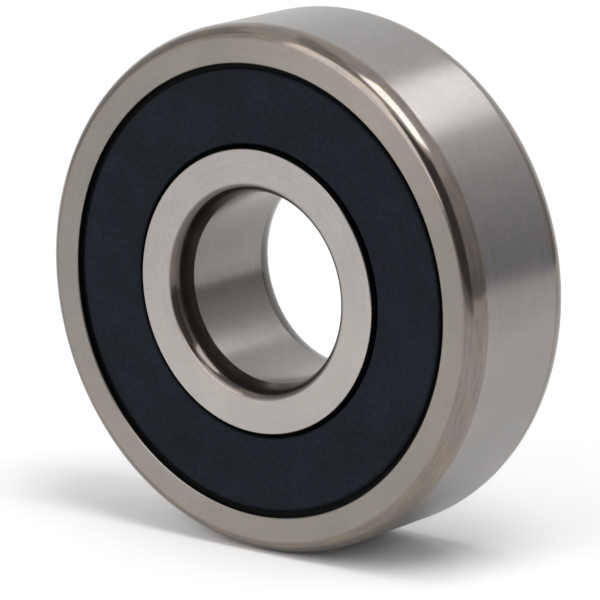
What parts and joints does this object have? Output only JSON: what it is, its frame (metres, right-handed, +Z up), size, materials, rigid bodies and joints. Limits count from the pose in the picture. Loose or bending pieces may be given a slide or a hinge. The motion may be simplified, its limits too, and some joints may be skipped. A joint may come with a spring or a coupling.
{
  "type": "ball bearing",
  "caption": "Sealed deep groove ball bearing: two ground steel rings round a caged row of balls, closed by a black rubber seal on each side.",
  "frame": {"origin": "centre of the bearing, on its axis and midway between the side faces", "axes": "+Y along the bearing's axis from the front face to the rear face, +Z up, +X to the right seen from the front"},
  "size_m": [0.047, 0.014, 0.047],
  "materials": {
    "ring_steel": "hardened bearing steel, finely ground",
    "ball_steel": "lapped and polished",
    "cage_steel": "pressed low-carbon sheet, tumbled",
    "rivet_steel": "drawn wire, cold headed",
    "seal_rubber": "moulded nitrile rubber, matt black",
    "core_steel": "pressed sheet washer"
  },
  "bodies": {
    "outer_ring": {"outer_ring": "ring_steel", "front_seal_rubber": "seal_rubber", "front_seal_core": "core_steel", "rear_seal_rubber": "seal_rubber", "rear_seal_core": "core_steel"},
    "inner_ring": {"inner_ring": "ring_steel"},
    "cage": {"cage_front": "cage_steel", "cage_rear": "cage_steel", "cage_rivets": "rivet_steel"},
    "ball_1": {"ball_1": "ball_steel"},
    "ball_2": {"ball_2": "ball_steel"},
    "ball_3": {"ball_3": "ball_steel"},
    "ball_4": {"ball_4": "ball_steel"},
    "ball_5": {"ball_5": "ball_steel"},
    "ball_6": {"ball_6": "ball_steel"},
    "ball_7": {"ball_7": "ball_steel"}
  },
  "joints": [
    {"name": "inner_ring_spin", "type": "hinge", "parent": "outer_ring", "child": "inner_ring", "pos_m": [0, 0, 0], "axis": [0, 1, 0], "continuous": true},
    {"name": "cage_spin", "type": "hinge", "parent": "outer_ring", "child": "cage", "pos_m": [0, 0, 0], "axis": [0, 1, 0], "continuous": true},
    {"name": "ball_1_spin", "type": "hinge", "parent": "cage", "child": "ball_1", "pos_m": [0, 0, 0.016], "axis": [0, 1, 0], "continuous": true},
    {"name": "ball_2_spin", "type": "hinge", "parent": "cage", "child": "ball_2", "pos_m": [0.01251, 0, 0.00998], "axis": [0, 1, 0], "continuous": true},
    {"name": "ball_3_spin", "type": "hinge", "parent": "cage", "child": "ball_3", "pos_m": [0.0156, 0, -0.00356], "axis": [0, 1, 0], "continuous": true},
    {"name": "ball_4_spin", "type": "hinge", "parent": "cage", "child": "ball_4", "pos_m": [0.00694, 0, -0.01442], "axis": [0, 1, 0], "continuous": true},
    {"name": "ball_5_spin", "type": "hinge", "parent": "cage", "child": "ball_5", "pos_m": [-0.00694, 0, -0.01442], "axis": [0, 1, 0], "continuous": true},
    {"name": "ball_6_spin", "type": "hinge", "parent": "cage", "child": "ball_6", "pos_m": [-0.0156, 0, -0.00356], "axis": [0, 1, 0], "continuous": true},
    {"name": "ball_7_spin", "type": "hinge", "parent": "cage", "child": "ball_7", "pos_m": [-0.01251, 0, 0.00998], "axis": [0, 1, 0], "continuous": true}
  ],
  "couplings": [
    {"joint": "cage_spin", "follows": "inner_ring_spin", "ratio": 0.36359},
    {"joint": "ball_1_spin", "follows": "inner_ring_spin", "ratio": -1.6964},
    {"joint": "ball_2_spin", "follows": "inner_ring_spin", "ratio": -1.6964},
    {"joint": "ball_3_spin", "follows": "inner_ring_spin", "ratio": -1.6964},
    {"joint": "ball_4_spin", "follows": "inner_ring_spin", "ratio": -1.6964},
    {"joint": "ball_5_spin", "follows": "inner_ring_spin", "ratio": -1.6964},
    {"joint": "ball_6_spin", "follows": "inner_ring_spin", "ratio": -1.6964},
    {"joint": "ball_7_spin", "follows": "inner_ring_spin", "ratio": -1.6964}
  ]
}
